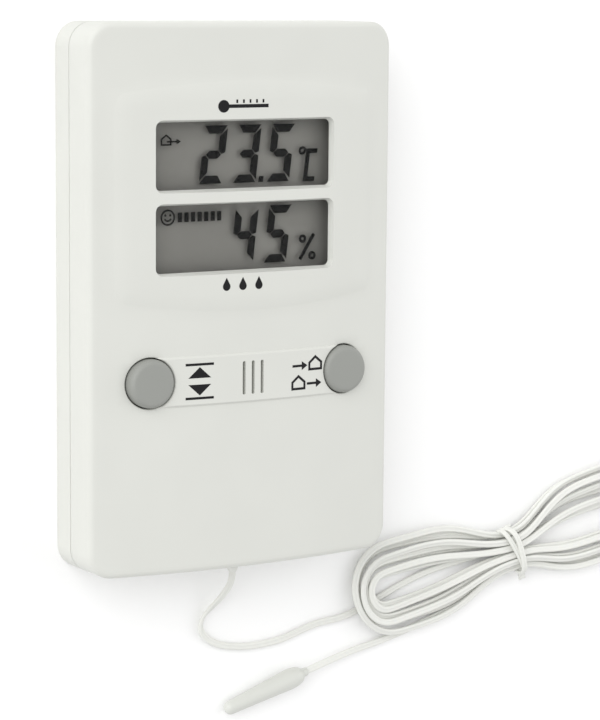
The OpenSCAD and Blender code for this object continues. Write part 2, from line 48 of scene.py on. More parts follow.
# Camera ------------------------------------------------------------------------------------
# A long lens above and to the left of the case, which lies on its back.
camera_data = bpy.data.cameras.new("camera")
camera_data.sensor_width = 36
camera_data.lens = 135.57
camera_data.clip_start = 0.01
camera = bpy.data.objects.new("camera", camera_data)
scene.collection.objects.link(camera)
CAM_RIGHT = (0.85268, 0.00801, 0.52238)
CAM_UP = (0.06577, 0.99028, -0.12254)
CAM_BACK = (-0.51828, 0.13884, 0.84386)
CAM_AT = (-0.27487, 0.06334, 0.48366)
camera.matrix_world = Matrix([[CAM_RIGHT[i], CAM_UP[i], CAM_BACK[i], CAM_AT[i]] for i in range(3)]
                             + [[0, 0, 0, 1]])
scene.camera = camera

# Finishes ----------------------------------------------------------------------------------
# One node material per slot of the record: a plain colour with a little cloudiness and a fine
# grain, so mouldings read as satin plastic and not as flat paint.


def finish(name, colour, rough, metal=0.0, grain=0.05, grain_scale=2500.0, edge=0.0, cloud=0.03):
    """Principled finish: colour varied by slow noise, a fine bump, and edges rounded by `edge` mm."""
    m = bpy.data.materials.new(name)
    m.use_nodes = True
    m.diffuse_color = (*colour, 1)
    n, link = m.node_tree.nodes, m.node_tree.links.new
    shader = n["Principled BSDF"]
    shader.inputs["Roughness"].default_value = rough
    shader.inputs["Metallic"].default_value = metal
    place = n.new("ShaderNodeTexCoord")
    slow = n.new("ShaderNodeTexNoise")
    slow.inputs["Scale"].default_value = 60
    link(place.outputs["Object"], slow.inputs["Vector"])
    mix = n.new("ShaderNodeMix")
    mix.data_type = "RGBA"
    mix.inputs["A"].default_value = (*[c * (1 - cloud) for c in colour], 1)
    mix.inputs["B"].default_value = (*[min(1, c * (1 + cloud)) for c in colour], 1)
    link(slow.outputs["Fac"], mix.inputs["Factor"])
    link(mix.outputs["Result"], shader.inputs["Base Color"])
    fine = n.new("ShaderNodeTexNoise")
    fine.inputs["Scale"].default_value = grain_scale
    link(place.outputs["Object"], fine.inputs["Vector"])
    bump = n.new("ShaderNodeBump")
    bump.inputs["Strength"].default_value = grain
    bump.inputs["Distance"].default_value = 0.00005
    link(fine.outputs["Fac"], bump.inputs["Height"])
    if edge:
        bevel = n.new("ShaderNodeBevel")
        bevel.samples = 4
        bevel.inputs["Radius"].default_value = edge * MM
        link(bevel.outputs["Normal"], bump.inputs["Normal"])
    link(bump.outputs["Normal"], shader.inputs["Normal"])
    return m


def clear(name, tint, ior, rough):
    """Clear sheet: light goes straight through with a slight tint, and the surface shines by Fresnel."""
    m = finish(name, tint, rough, cloud=0.0)
    n, link = m.node_tree.nodes, m.node_tree.links.new
    through = n.new("ShaderNodeBsdfTransparent")
    through.inputs["Color"].default_value = (*tint, 1)
    shine = n.new("ShaderNodeBsdfGlossy")
    shine.inputs["Roughness"].default_value = rough
    fresnel = n.new("ShaderNodeFresnel")
    fresnel.inputs["IOR"].default_value = ior
    mix = n.new("ShaderNodeMixShader")
    link(fresnel.outputs["Fac"], mix.inputs["Fac"])
    link(through.outputs["BSDF"], mix.inputs[1])
    link(shine.outputs["BSDF"], mix.inputs[2])
    link(mix.outputs["Shader"], n["Material Output"].inputs["Surface"])
    return m


WHITE = (0.655, 0.662, 0.622)
finishes = {
    "white_case": finish("white_case", WHITE, 0.42, edge=0.35),
    "clear_window": clear("clear_window", (0.97, 0.975, 0.972), 1.18, 0.04),
    "display_glass": clear("display_glass", (0.93, 0.93, 0.925), 1.05, 0.05),
    "display_foil": finish("display_foil", (0.40, 0.385, 0.366), 0.6, cloud=0.06),
    "pink_silicone": finish("pink_silicone", (0.58, 0.43, 0.46), 0.6),
    "green_board": finish("green_board", (0.025, 0.145, 0.047), 0.35, edge=0.1),
    "plated_steel": finish("plated_steel", (0.6, 0.6, 0.58), 0.28, metal=1.0, edge=0.08),
    "black_resin": finish("black_resin", (0.01, 0.01, 0.012), 0.2),
    "brown_ceramic": finish("brown_ceramic", (0.25, 0.155, 0.07), 0.5, edge=0.08),
    "grey_key": finish("grey_key", (0.285, 0.292, 0.272), 0.55, grain=0.08),
    "dark_silicone": finish("dark_silicone", (0.045, 0.045, 0.045), 0.7),
    "cell_jacket": finish("cell_jacket", (0.047, 0.08, 0.16), 0.25, edge=0.3),
    "red_insulation": finish("red_insulation", (0.45, 0.013, 0.013), 0.35),
    "black_insulation": finish("black_insulation", (0.008, 0.008, 0.008), 0.35),
    "lead_insulation": finish("lead_insulation", (0.79, 0.795, 0.755), 0.38, cloud=0.02),
    "probe_plastic": finish("probe_plastic", (0.64, 0.65, 0.61), 0.4, cloud=0.04),
}
slot_of = {s["node"]: s["material_slot"] for s in frame["record"]["subparts"]}
for node_name, node_object in frame["nodes"].items():
    node_object.data.materials.clear()
    node_object.data.materials.append(finishes[slot_of[node_name]])
ink = finish("black_ink", (0.012, 0.012, 0.013), 0.5)
segment_ink = finish("display_ink", (0.011, 0.011, 0.011), 0.6)
for dark, shine in ((ink, 0.12), (segment_ink, 0.05)):
    dark.node_tree.nodes["Principled BSDF"].inputs["Specular IOR Level"].default_value = shine


def add_piece(name, points, faces, slot, body="case", crisp=30, material=None):
    """A piece from points in millimetres and faces; edges sharper than `crisp` degrees stay crisp."""
    mesh = bpy.data.meshes.new(name)
    mesh.from_pydata((np.asarray(points, float) * MM).tolist(), [], [list(map(int, f)) for f in faces])
    mesh.update()
    mesh.polygons.foreach_set("use_smooth", np.ones(len(mesh.polygons), bool))
    mesh.set_sharp_from_angle(angle=math.radians(crisp))
    mesh.materials.append(material or finishes[slot])
    piece = bpy.data.objects.new(name, mesh)
    scene.collection.objects.link(piece)
    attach(piece, body)
    return piece


# Lead --------------------------------------------------------------------------------------
# A flat lead of two white cores, 1.5 mm wide, 1.5 m long. It drops from the gland to the table,
# runs under the end of the hank, goes round it eight times and comes out to the probe.
HANK_AT = np.array([76.5, -62.3])
HANK_TURN = math.radians(10)
GLAND_END = (2.5, -59.4, 5.8)
LEAD_W, LEAD_T = 1.5, 0.84


def through(points, steps):
    """Catmull-Rom line through the points, with `steps` samples per stretch."""
    p = np.asarray(points, float)
    p = np.vstack([2 * p[0] - p[1], p, 2 * p[-1] - p[-2]])
    t = np.linspace(0, 1, steps, endpoint=False)[:, None]
    line = []
    for a, b, c, d in zip(p, p[1:], p[2:], p[3:]):
        line.append(0.5 * (2 * b + (c - a) * t + (2 * a - 5 * b + 4 * c - d) * t ** 2
                           + (3 * b - a - 3 * c + d) * t ** 3))
    return np.vstack(line + [p[-2:-1]])


def even(line, step):
    """The same line with samples an even step apart."""
    run = np.concatenate([[0], np.cumsum(np.linalg.norm(np.diff(line, axis=0), axis=1))])
    at = np.linspace(0, run[-1], int(run[-1] / step) + 1)
    return np.stack([np.interp(at, run, line[:, i]) for i in range(3)], 1)


def from_hank(u, v, z):
    """Hank coordinates, u along it and v across it, to the object's own x, y and z."""
    c, s = math.cos(HANK_TURN), math.sin(HANK_TURN)
    return np.stack([HANK_AT[0] + u * c - v * s, HANK_AT[1] + u * s + v * c, z], 1)


def hank_line():
    """Eight nested turns, each two long sides with half-round ends, drawn in to its slot at the waist."""
    chance = np.random.default_rng(7)
    p = np.linspace(0, 7.588, 2400)
    part = p - np.floor(p)
    ease = np.clip((part - 0.13) / 0.24, 0, 1)
    level = np.floor(p) + ease * ease * (3 - 2 * ease)
    at = np.arange(9)
    look = lambda values: np.interp(level, at, values)
    theta = math.pi / 2 - 2 * math.pi * p
    upper, left = np.sin(theta) > 0, np.cos(theta) < 0
    a_left = look(np.linspace(37.0, 42.2, 9) + chance.uniform(-0.35, 0.35, 9))
    a_right = look(np.linspace(36.2, 42.2, 9) + chance.uniform(-0.5, 0.5, 9))
    b_left = look(np.array([2.8, 3.4, 4.2, 5.2, 6.2, 7.3, 8.4, 10.2, 10.2]))
    b_right_up = look(np.array([3.0, 3.6, 4.7, 6.6, 7.9, 9.9, 11.0, 12.0, 12.0]))
    b_right_low = look(np.array([2.8, 3.2, 4.0, 4.8, 6.2, 7.0, 8.6, 9.2, 9.6]))
    slot = look(np.array([0.8, 0.8, 0.9, 2.4, 2.4, 2.5, 4.0, 4.0, 4.1]))
    row = look(np.array([0, 1, 2, 0, 1, 2, 0, 1, 0]) * 1.08 + 0.82)
    wide = np.where(left, b_left, np.where(upper, b_right_up, b_right_low))
    end_share = 0.45
    cap = np.arcsin(np.clip(np.abs(np.sin(theta)) / end_share, 0, 1))
    along_side = np.clip(np.abs(np.cos(theta)) / math.sqrt(1 - end_share ** 2), 0, 1)
    u = np.sign(np.cos(theta)) * ((np.where(left, a_left, a_right) - wide) * along_side
                                  + wide * np.cos(cap))
    near = np.exp(-(np.abs(u) / np.where(left, look(np.linspace(18, 11.5, 9)), 11.5)) ** 2.3)
    side = np.sign(np.sin(theta))
    v = side * (slot * near + wide * np.sin(cap) * (1 - near))
    v += 0.9 * (u / 40) ** 2 * (u < 0) + 0.25 * np.sin(u / 7 + 2.1 * level) * (1 - near)
    z = row + 0.9 * np.exp(-(u / 7) ** 2) + 0.12 * np.sin(u / 9 + 1.7 * level)
    line = from_hank(u, v, z)
    lift = np.exp(-((line[:, 0] - 38.5) ** 2 + (line[:, 1] + 71) ** 2) / (2 * 5.5 ** 2))
    line[:, 2] += 1.05 * lift
    return line


def sweep(line, flat_up, section):
    """Tube along a line: the section's first number goes across, its second along flat_up; ends closed."""
    along = np.gradient(line, axis=0)
    along /= np.linalg.norm(along, axis=1, keepdims=True)
    across = np.cross(along, flat_up)
    across /= np.linalg.norm(across, axis=1, keepdims=True)
    up = np.cross(across, along)
    n, m = len(line), len(section)
    points = (line[:, None] + across[:, None] * section[None, :, :1] + up[:, None] * section[None, :, 1:])
    points = np.vstack([points.reshape(-1, 3), line[:1], line[-1:]])
    i, j = np.meshgrid(np.arange(n - 1), np.arange(m), indexing="ij")
    k = (j + 1) % m
    quads = np.stack([i * m + j, (i + 1) * m + j, (i + 1) * m + k, i * m + k], -1).reshape(-1, 4)
    ring = np.arange(m)
    after = (ring + 1) % m
    first = [[n * m, a, b] for a, b in zip(ring, after)]
    last = [[n * m + 1, (n - 1) * m + b, (n - 1) * m + a] for a, b in zip(ring, after)]
    return points, quads.tolist() + first + last


def twin_section(width, height):
    """Outline of a flat two-core lead: two round cores side by side with a groove between them."""
    r = height / 2
    off = width / 2 - r
    turn = math.pi - math.acos(off / r)
    angles = np.linspace(-turn, turn, 9)[:-1]
    right = np.stack([off + r * np.cos(angles), r * np.sin(angles)], 1)
    return np.vstack([right, -right])


run = through([GLAND_END, (2.3, -61.5, 5.3), (1, -65, 3), (-1.3, -68, 1.3), (-2.4, -70.5, 0.85),
               (-1.4, -73, 0.8), (2, -75.2, 0.75), (7, -76.3, 0.7), (12, -76.5, 0.7), (17.5, -76, 0.7),
               (22.5, -74.6, 0.7), (27, -73.5, 0.7), (32, -73.1, 0.7), (36, -72.1, 0.7),
               (41, -70.3, 0.7), (46.5, -68, 0.7), (53, -65.8, 0.7), (60, -64.3, 0.75),
               (68, -63.0, 1.1)], 8)
hank = hank_line()
tail = [(50, -77.6, 0.8), (45.5, -78.7, 0.8), (41, -79.6, 1), (34.5, -80.7, 1.3), (28.5, -82, 1.8),
        (23, -83.3, 2.2), (21.6, -83.7, 2.2)]
lead_line = even(np.vstack([run[:-1], hank, through([hank[-1]] + tail, 8)[1:]]), 0.8)
for _ in range(3):
    lead_line[1:-1] = 0.25 * lead_line[:-2] + 0.5 * lead_line[1:-1] + 0.25 * lead_line[2:]
inside_gland = np.array([[2.5, -58.2, 5.8], [2.5, -58.9, 5.8]])
lead_line = np.vstack([inside_gland, lead_line])
# The lead lies flat, but stands on its edge where it comes down to the table.
on_edge = (np.exp(-((lead_line[:, 0] + 1.2) ** 2 + (lead_line[:, 1] + 68.5) ** 2) / 16)
           * (lead_line[:, 0] < 6))
lie = np.array([0, 0, 1.0]) * (1 - on_edge)[:, None] + np.array([0.85, 0, 0.52]) * on_edge[:, None]
roll = 0.5 * np.sin(np.arange(len(lead_line)) * 0.8 / 23)[:, None] * np.clip(lead_line[:, 2:] * 2 - 2, 0, 1)
heading = np.gradient(lead_line, axis=0)
sideways = np.cross(heading, lie)
sideways /= np.linalg.norm(sideways, axis=1, keepdims=True)
lead = add_piece("lead", *sweep(lead_line, lie + roll * sideways, twin_section(LEAD_W, LEAD_T)),
                 "lead_insulation", crisp=75)
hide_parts("lead_run", "lead_hank", "lead_tail")

# Tie ---------------------------------------------------------------------------------------
# A short end of the same flat wire goes twice round the waist of the hank, crosses over itself
# on top and has its two ends twisted together below.


def tie_line():
    """Two slanted turns round a flattened oval, the second one outside the first where they cross."""
    t = np.linspace(-0.35, 4 * math.pi - 0.1, 170)
    second = 1 / (1 + np.exp(-(t - 2 * math.pi) * 2))
    c, s = np.cos(t), np.sin(t)
    v = (5.15 + 0.45 * second) * np.sign(c) * np.abs(c) ** 0.75
    z = 2.75 + (2.3 + 0.55 * second * (s > 0)) * np.sign(s) * np.abs(s) ** 0.75
    u = -0.25 - (0.42 - 0.3 * second) * v + 0.9 * second
    return from_hank(u, v, np.maximum(z, 0.62))


tie = even(tie_line(), 0.3)
for _ in range(4):
    tie[1:-1] = 0.25 * tie[:-2] + 0.5 * tie[1:-1] + 0.25 * tie[2:]
tie_middle = np.array([HANK_AT[0], HANK_AT[1], 2.75])
tie_out = tie - tie_middle
tie_out[:, :2] -= np.outer(tie_out[:, :2] @ [math.cos(HANK_TURN), math.sin(HANK_TURN)],
                           [math.cos(HANK_TURN), math.sin(HANK_TURN)])
tie_points, tie_faces = sweep(tie, tie_out, twin_section(1.35, 0.72))
t = np.linspace(0, 1, 26)[:, None]
for sign in (-1, 1):
    knot = from_hank(1.7 + 0.6 * t[:, 0] + sign * 0.4 * np.cos(7 * t[:, 0]), -5.6 - 1.9 * t[:, 0],
                     2.6 - 0.9 * t[:, 0] + sign * 0.4 * np.sin(7 * t[:, 0]))
    points, faces = sweep(knot, np.tile([0, 0.2, 1.0], (26, 1)), twin_section(0.9, 0.7))
    tie_faces += [[i + len(tie_points) for i in f] for f in faces]
    tie_points = np.vstack([tie_points, points])
tie_piece = add_piece("tie", tie_points, tie_faces, "lead_insulation", crisp=75)
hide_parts("hank_tie")

# Gland and probe ---------------------------------------------------------------------------
# The gland is a soft grommet in the bottom wall that tapers down to the lead. The probe is a
# drop-shaped moulding, widest near the lead, with a soft shoulder and a blunt round tip.


def turned(profile, base, direction, sides=48):
    """Closed solid of revolution: (radius, distance) pairs along a direction, first and last radius 0."""
    d = np.asarray(direction, float) / np.linalg.norm(direction)
    side = np.cross(d, [0, 0, 1.0]) if abs(d[2]) < 0.9 else np.array([1.0, 0, 0])
    side /= np.linalg.norm(side)
    up = np.cross(side, d)
    a = np.linspace(0, 2 * math.pi, sides, endpoint=False)
    rim = np.cos(a)[:, None] * side + np.sin(a)[:, None] * up
    inner = profile[1:-1]
    points = [np.asarray(base) + d * h + r * rim for r, h in inner]
    poles = [[np.asarray(base) + d * profile[0][1]], [np.asarray(base) + d * profile[-1][1]]]
    points = np.vstack(points + poles)
    n, m = len(inner), sides
    faces = [[i * m + j, i * m + (j + 1) % m, (i + 1) * m + (j + 1) % m, (i + 1) * m + j]
             for i in range(n - 1) for j in range(m)]
    faces += [[n * m, (j + 1) % m, j] for j in range(m)]
    faces += [[n * m + 1, (n - 1) * m + j, (n - 1) * m + (j + 1) % m] for j in range(m)]
    points_mid = points[:n * m].mean(axis=0)
    turn = np.cross(points[faces[0][1]] - points[faces[0][0]], points[faces[0][2]] - points[faces[0][0]])
    if turn @ (points[faces[0][0]] - points_mid) < 0 and n > 1:
        faces = [f[::-1] for f in faces]
    return points, faces


gland_profile = [(0, 0), (2.5, 0), (2.5, 1.0), (1.75, 1.1), (1.75, 2.9), (1.5, 3.0), (1.45, 3.9),
                 (1.32, 4.0), (1.32, 4.4), (1.45, 4.5), (1.38, 4.9), (1.18, 5.0), (1.18, 5.4),
                 (1.24, 5.5), (1.1, 5.9), (0.95, 6.2), (0.8, 6.5), (0, 6.55)]
gland = add_piece("gland", *turned(gland_profile, (2.5, -52.1, 5.8), (0, -1, 0)), "white_case", crisp=50,
                  material=finish("gland_rubber", (0.75, 0.755, 0.72), 0.45))
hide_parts("lead_gland")

probe_profile = [(0, 0)] + [(1.5 * math.sin(t), 1.5 - 1.5 * math.cos(t)) for t in np.linspace(0.2, 1.5, 9)]
probe_profile += [(1.5 + 0.7 * s ** 1.15, 1.6 + 14.6 * s) for s in np.linspace(0.05, 1, 14)]
probe_profile += [(2.2 * math.cos(t) ** 0.6, 16.4 + 3.4 * math.sin(t)) for t in np.linspace(0.1, 1.3, 12)]
probe_profile += [(0.95, 20.0), (0.9, 20.7), (0.7, 20.95), (0, 21.0)]
probe_tip = np.array([3.1, -89.35, 1.8])
probe_end = np.array([23.0, -83.3, 2.35])
probe = add_piece("probe", *turned(probe_profile, probe_tip, probe_end - probe_tip),
                  "probe_plastic", crisp=40)
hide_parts("probe_shell")

# Front cover -------------------------------------------------------------------------------
# A white moulding with a gently bulging face and soft edges. A low pillow with arched top and
# bottom carries two windows with sloped borders; below it a raised strip joins the two button
# holes, with three narrow vents in its middle.
HALF_W, HALF_H, CORNER = 35.0, 55.0, 5.0
SIDE, CROWN, SEAM, WALL = 14.0, 3.8, 5.8, 2.0
FACE_R = (HALF_W ** 2 + CROWN ** 2) / (2 * CROWN)
BUTTON_X, BUTTON_Y = 22.5, -16
STRIP_HALF, STRIP_H, STRIP_RAMP = 5.05, 0.4, 0.4
VENT_PITCH, VENT_W, VENT_L, VENT_R = 2.1, 0.7, 6.8, 0.3
WINDOW_R, LENS_POCKET, GLASS_POCKET, GLASS_ROOM = 1.1, (43.8, 33.3, 1.2), (48.8, 38.5, 1), 14.3
WIN_X, WIN_Y, PILLOW_Y, PILLOW_H, FLANK = -0.9, 20.3, 20.6, 0.38, 4.0
WINDOWS = [(-1.05, 28.75, 40.1, 13.4), (-1.05, 12.32, 40.1, 13.4)]
EDGE_R, BEVEL, LIP, HOLE_R, RIM = 1.2, 0.45, 15.75, 5.15, 0.35


def within(x, y, cx, cy, w, h, r):
    """Distance inside a rectangle with round corners; negative outside."""
    qx, qy = np.abs(x - cx) - w / 2 + r, np.abs(y - cy) - h / 2 + r
    return r - np.hypot(np.maximum(qx, 0), np.maximum(qy, 0)) - np.minimum(np.maximum(qx, qy), 0)


def in_case(x, y):
    """How far a point lies inside the case's rounded outline."""
    return within(x, y, 0, 0, 2 * HALF_W, 2 * HALF_H, CORNER)


def in_pillow(x, y):
    """Distance inside the pillow: straight sides, round corners, and arcs of 165 mm above and below."""
    box = within(x, y, 0, PILLOW_Y, 60, 46.3, 6.5)
    return np.minimum(box, np.minimum(165 - np.hypot(x, y - 43.75 + 165),
                                      165 - np.hypot(x, y + 2.55 - 165)))


def bare_face(x):
    return SIDE + CROWN - FACE_R + np.sqrt(FACE_R ** 2 - x * x)


def skin(x, y):
    """Height of the outside: arc, plus pillow and strip, less the round edges, borders and rims."""
    z = bare_face(x)
    z = z + PILLOW_H * (1 - (1 - np.clip(in_pillow(x, y) / FLANK, 0, 1)) ** 2)
    step = np.clip((STRIP_HALF - np.abs(y - BUTTON_Y)) / STRIP_RAMP, 0, 1)
    z = z + np.where(np.abs(x) < BUTTON_X, STRIP_H * step * (2 - step), 0)
    edge = np.clip(1 - in_case(x, y) / EDGE_R, 0, 1)
    z = z - EDGE_R * (1 - np.sqrt(np.maximum(1 - edge ** 2, 0)))
    for cx, cy, w, h in WINDOWS:
        out = -within(x, y, cx, cy, w, h, WINDOW_R)
        z = np.where(out < BEVEL, LIP + (z - LIP) * np.clip(out / BEVEL, 0, 1), z)
    for sx in (-1, 1):
        rim = np.clip(1 - (np.hypot(x - sx * BUTTON_X, y - BUTTON_Y) - HOLE_R) / RIM, 0, 1)
        z = z - RIM * (1 - np.sqrt(np.maximum(1 - rim ** 2, 0)))
    return z


def lining(x, y):
    """Height of the inside: one wall under the face, with pockets for the window and the display."""
    z = bare_face(x) - WALL
    z = np.where(within(x, y, WIN_X, WIN_Y, *GLASS_POCKET) > -0.01, np.maximum(z, GLASS_ROOM), z)
    return np.where(within(x, y, WIN_X, WIN_Y, *LENS_POCKET) > -0.01, LIP - 0.1, z)


def loop_rect(cx, cy, w, h, r, corner=7, step=2.2):
    """Points round a rectangle with round corners, anticlockwise, with as many whatever its size."""
    nx, ny = max(2, int(round(w / step))), max(2, int(round(h / step)))
    out = []
    for q, (sx, sy) in enumerate([(1, 1), (-1, 1), (-1, -1), (1, -1)]):
        a = np.linspace(q * math.pi / 2, (q + 1) * math.pi / 2, corner)
        arc = np.stack([cx + sx * (w / 2 - r) + r * np.cos(a), cy + sy * (h / 2 - r) + r * np.sin(a)], 1)
        out.append(arc)
    loops = []
    for q in range(4):
        a, b = out[q][-1], out[(q + 1) % 4][0]
        count = nx if q % 2 == 0 else ny
        t = np.linspace(0, 1, count + 1)[1:-1, None]
        loops += [out[q], a + (b - a) * t]
    return np.vstack(loops)


def loop_level(level, count=360):
    """Points where the pillow's inward distance has one value, found by halving along rays."""
    a = np.linspace(0, 2 * math.pi, count, endpoint=False)
    ray = np.stack([np.cos(a), np.sin(a)], 1)
    low, high = np.zeros(count), np.full(count, 60.0)
    for _ in range(40):
        mid = (low + high) / 2
        p = ray * mid[:, None] + [0, PILLOW_Y]
        inside = in_pillow(p[:, 0], p[:, 1]) > level
        low, high = np.where(inside, mid, low), np.where(inside, high, mid)
    return ray * low[:, None] + [0, PILLOW_Y]


def loop_circle(cx, cy, r, count=72):
    a = np.linspace(0, 2 * math.pi, count, endpoint=False)
    return np.stack([cx + r * np.cos(a), cy + r * np.sin(a)], 1)


def outline_loop(inset):
    """The case's outline, drawn in; every inset has the same number of points."""
    full = loop_rect(0, 0, 2 * HALF_W, 2 * HALF_H, CORNER, corner=13)
    scale = (CORNER - inset) / CORNER
    cx = np.clip(full[:, 0], CORNER - HALF_W, HALF_W - CORNER)
    cy = np.clip(full[:, 1], CORNER - HALF_H, HALF_H - CORNER)
    return np.stack([cx + (full[:, 0] - cx) * scale, cy + (full[:, 1] - cy) * scale], 1)


def front_cover():
    """Flat triangulation with every feature's edge in it, lifted to the skin and to the lining."""
    insets = [EDGE_R * (1 - math.cos(t)) for t in np.linspace(0, math.pi / 2, 8)] + [2.8]
    loops = [outline_loop(i) for i in insets] + [outline_loop(WALL)]
    wall_loop = len(loops) - 1
    loops += [loop_level(level) for level in (0.0, 0.3, 0.8, 1.6, 2.7, FLANK)]
    for cx, cy, w, h in WINDOWS:
        loops += [loop_rect(cx, cy, w + 2 * g, h + 2 * g, WINDOW_R + g) for g in (0, 0.22, BEVEL)]
    loops += [loop_rect(WIN_X, WIN_Y, w, h, r)
              for w, h, r in (LENS_POCKET, (44.5, 34, 1.5), GLASS_POCKET, (49.5, 39.2, 1.3))]
    for sx in (-1, 1):
        loops += [loop_circle(sx * BUTTON_X, BUTTON_Y, HOLE_R + RIM * g) for g in (0, 0.13, 0.5, 1)]
    loops += [loop_rect(i * VENT_PITCH, BUTTON_Y, VENT_W, VENT_L, VENT_R, corner=4) for i in (-1, 0, 1)]
    points, edges, starts = [], [], []
    for loop in loops:
        starts.append(len(points))
        edges += [(starts[-1] + i, starts[-1] + (i + 1) % len(loop)) for i in range(len(loop))]
        points += loop.tolist()
    for y in (-10.95, -11.1, -11.35, -20.65, -20.9, -21.05):
        row = [(x, y) for x in np.linspace(-22.4, 22.4, 29)]
        edges += [(len(points) + i, len(points) + i + 1) for i in range(28)]
        points += row
    ring = np.array(points)
    gx, gy = np.meshgrid(np.arange(-31.5, 32, 2.25), np.arange(-51.75, 52, 2.25))
    spare = np.stack([gx.ravel(), gy.ravel()], 1)
    gap = np.sqrt(((spare[:, None] - ring[None]) ** 2).sum(-1)).min(1)
    points += spare[gap > 0.9].tolist()
    flat, _, tris, origin, _, _ = delaunay_2d_cdt([tuple(p) for p in points], edges, [], 0, 1e-5, True)
    flat = np.array([(p.x, p.y) for p in flat])
    tris = np.array([t for t in tris if len(t) == 3])
    mid = flat[tris].mean(1)
    x, y = mid[:, 0], mid[:, 1]
    keep = in_case(x, y) > 0
    for cx, cy, w, h in WINDOWS:
        keep &= within(x, y, cx, cy, w, h, WINDOW_R) < 0
    for sx in (-1, 1):
        keep &= np.hypot(x - sx * BUTTON_X, y - BUTTON_Y) > HOLE_R * 0.999
    for i in (-1, 0, 1):
        keep &= within(x, y, i * VENT_PITCH, BUTTON_Y, VENT_W, VENT_L, VENT_R) < 0
    tris, x, y = tris[keep], x[keep], y[keep]
    a, b, c = flat[tris[:, 0]], flat[tris[:, 1]], flat[tris[:, 2]]
    turn = (b[:, 0] - a[:, 0]) * (c[:, 1] - a[:, 1]) - (b[:, 1] - a[:, 1]) * (c[:, 0] - a[:, 0])
    tris[turn < 0] = tris[turn < 0][:, ::-1]
    inner = tris[in_case(x, y) > WALL]
    n = len(flat)
    top = np.column_stack([flat, skin(flat[:, 0], flat[:, 1])])
    under = np.column_stack([flat, np.minimum(lining(flat[:, 0], flat[:, 1]), top[:, 2] - 0.05)])
    faces = tris.tolist() + (inner[:, ::-1] + n).tolist()
    to_new = {}
    for new, old in enumerate(origin):
        for o in old:
            to_new[o] = new
    count = len(loops[0])
    outer = [to_new[starts[0] + i] for i in range(count)]
    inside = [to_new[starts[wall_loop] + i] for i in range(count)]
    rim_edges = {frozenset((p, q)) for ids in (outer, inside) for p, q in zip(ids, ids[1:] + ids[:1])}
    used = {}
    for tri in tris.tolist():
        for p, q in ((tri[0], tri[1]), (tri[1], tri[2]), (tri[2], tri[0])):
            used[(p, q)] = True
    faces += [[p, p + n, q + n, q] for p, q in used
              if (q, p) not in used and frozenset((p, q)) not in rim_edges]
    stack = [np.column_stack([outline_loop(inset), np.full(count, z)])
             for inset, z in ((0, SEAM + 0.35), (0.04, SEAM + 0.15),
                               (0.12, SEAM + 0.02), (WALL, SEAM + 0.02))]
    rings = ([outer] + [[2 * n + k * count + i for i in range(count)] for k in range(4)]
             + [[i + n for i in inside]])
    for upper_ring, lower_ring in zip(rings, rings[1:]):
        for i in range(count):
            j = (i + 1) % count
            faces.append([upper_ring[i], lower_ring[i], lower_ring[j], upper_ring[j]])
    points = np.vstack([top, under] + stack)
    alive = np.unique(np.concatenate([np.ravel(f) for f in faces]))
    renumber = np.full(len(points), -1)
    renumber[alive] = np.arange(len(alive))
    return points[alive], [[renumber[i] for i in f] for f in faces]


cover = add_piece("front_moulding", *front_cover(), "white_case", crisp=27)
cover.data.materials[0] = finish("white_case_soft", WHITE, 0.42)
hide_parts("front_cover")

# Buttons -----------------------------------------------------------------------------------
# Two matt grey keys with a flat top and a broad soft edge, held under the face by a flange.
for key_name, body_name, node_name, sx in (("max_min_cap", "max_min_key", "max_min_button", -1),
                                           ("in_out_cap", "in_out_key", "in_out_button", 1)):
    key_profile = [(0, 12.22), (6.1, 12.22), (6.1, 13.02), (4.9, 13.05), (4.9, 16.6)]
    key_profile += [(3.9 + math.cos(t), 16.62 + 1.3 * math.sin(t))
                    for t in np.linspace(0.12, math.pi / 2, 9)]
    key_profile += [(3.3, 17.95), (1.5, 17.97), (0, 17.97)]
    key = add_piece(key_name, *turned(key_profile, (sx * BUTTON_X, BUTTON_Y, 0), (0, 0, 1), 96), "grey_key",
                    body=body_name, crisp=35)
    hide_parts(node_name)

# Display -----------------------------------------------------------------------------------
# A glass panel with a grey reflecting film behind it. The dark figures lie inside the glass, so
# each throws a soft shadow on the film.


